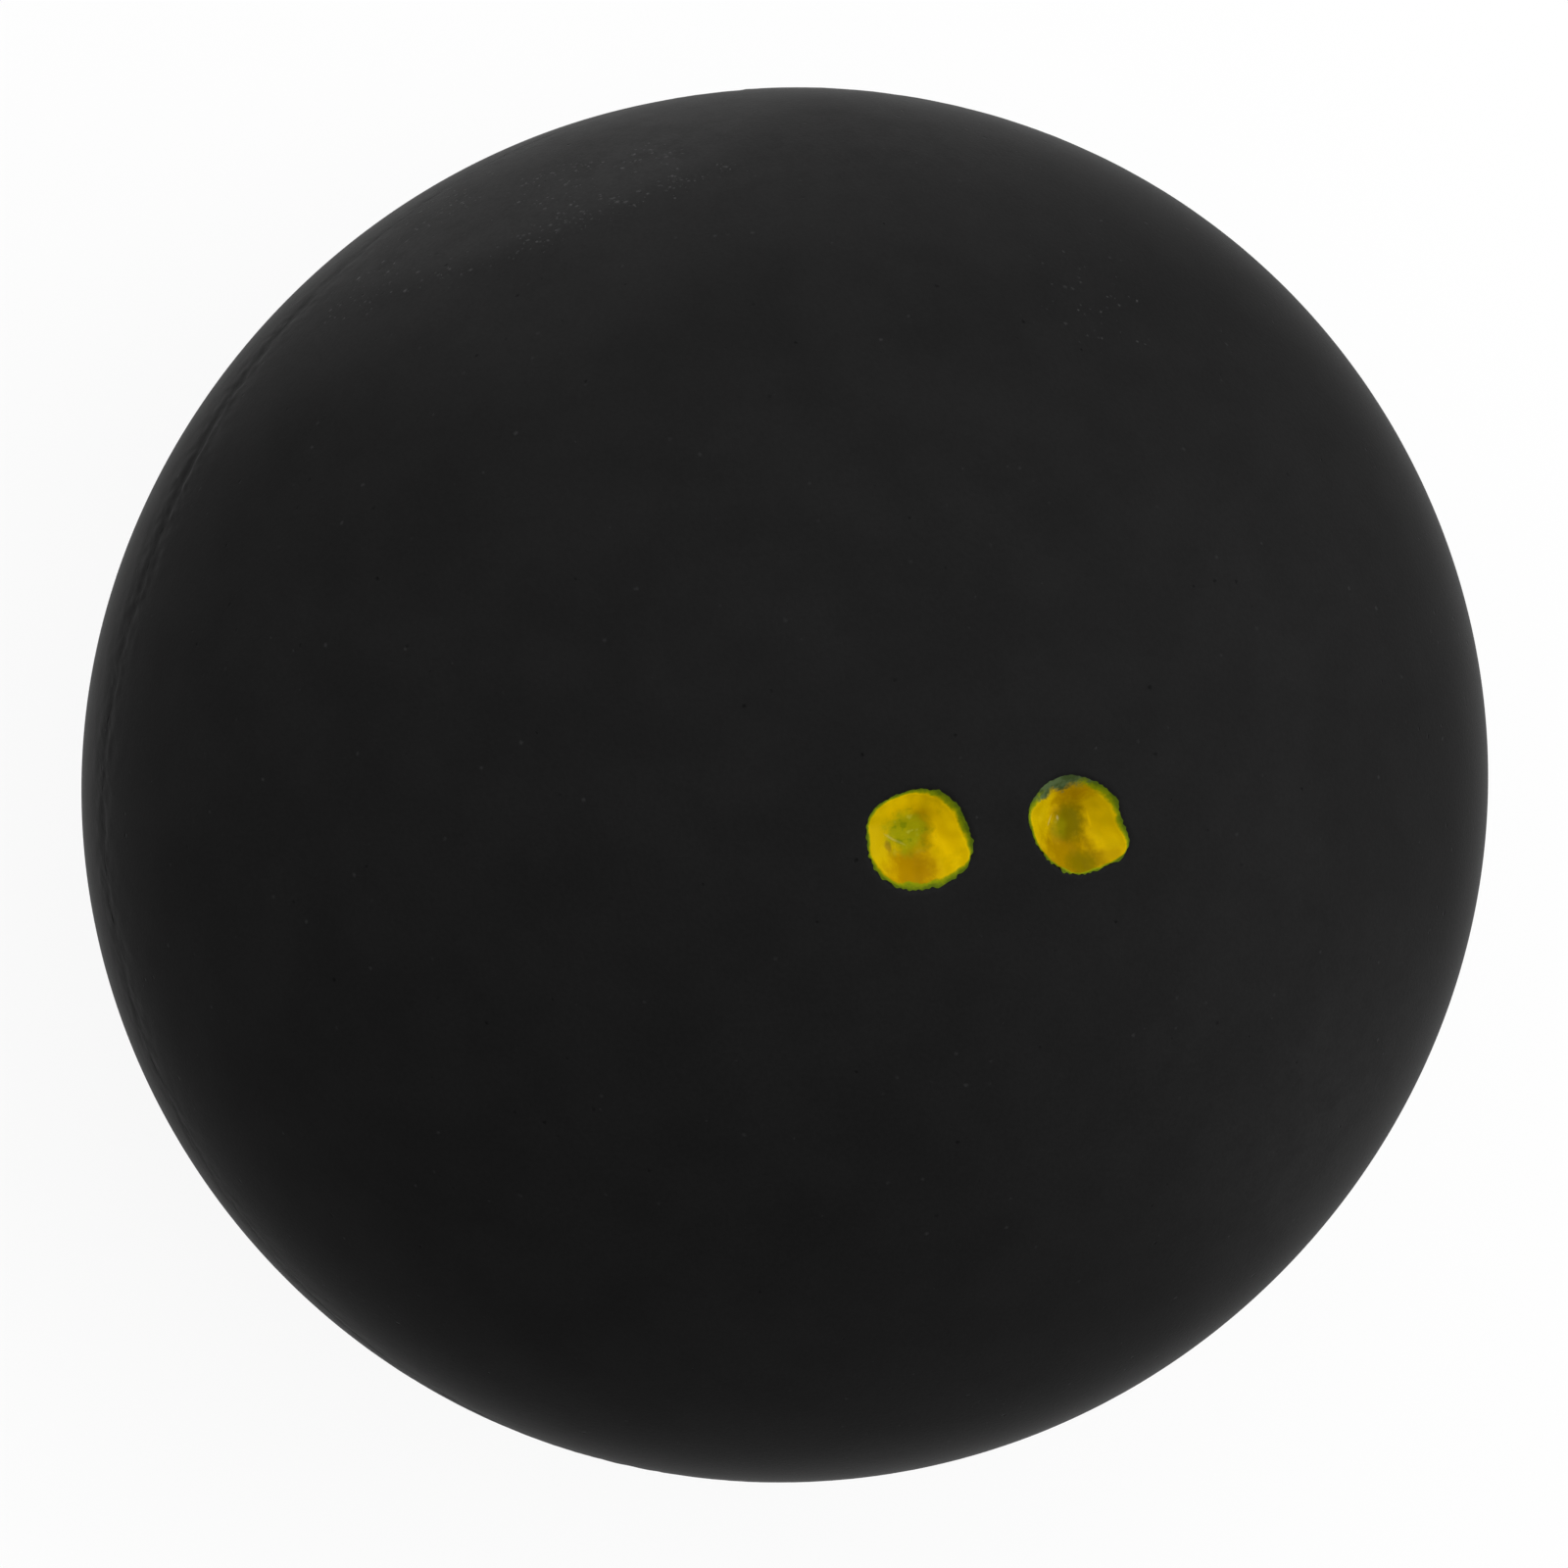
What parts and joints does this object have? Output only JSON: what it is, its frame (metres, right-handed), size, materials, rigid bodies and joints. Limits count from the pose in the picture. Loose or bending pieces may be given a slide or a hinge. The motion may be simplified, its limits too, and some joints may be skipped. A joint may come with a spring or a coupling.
{
  "type": "squash ball",
  "caption": "Hollow black rubber ball cemented from two half shells, with a pair of yellow painted dimples on one half; it is struck by a racket and rebounds off the court walls.",
  "frame": {"origin": "centre of the ball", "axes": "+Z from the centre to the middle between the two dots, square to the seam plane; +X from the left dot to the right dot; the seam lies in the XY plane"},
  "size_m": [0.04, 0.04, 0.04],
  "materials": {
    "rubber": "matt, lightly buffed",
    "cement": "matt cured rubber cement",
    "dot_paint": "satin flexible enamel"
  },
  "bodies": {
    "root": {"dotted_half_shell": "rubber", "plain_half_shell": "rubber", "seam_cement": "cement", "left_dot_paint": "dot_paint", "right_dot_paint": "dot_paint"}
  },
  "joints": []
}
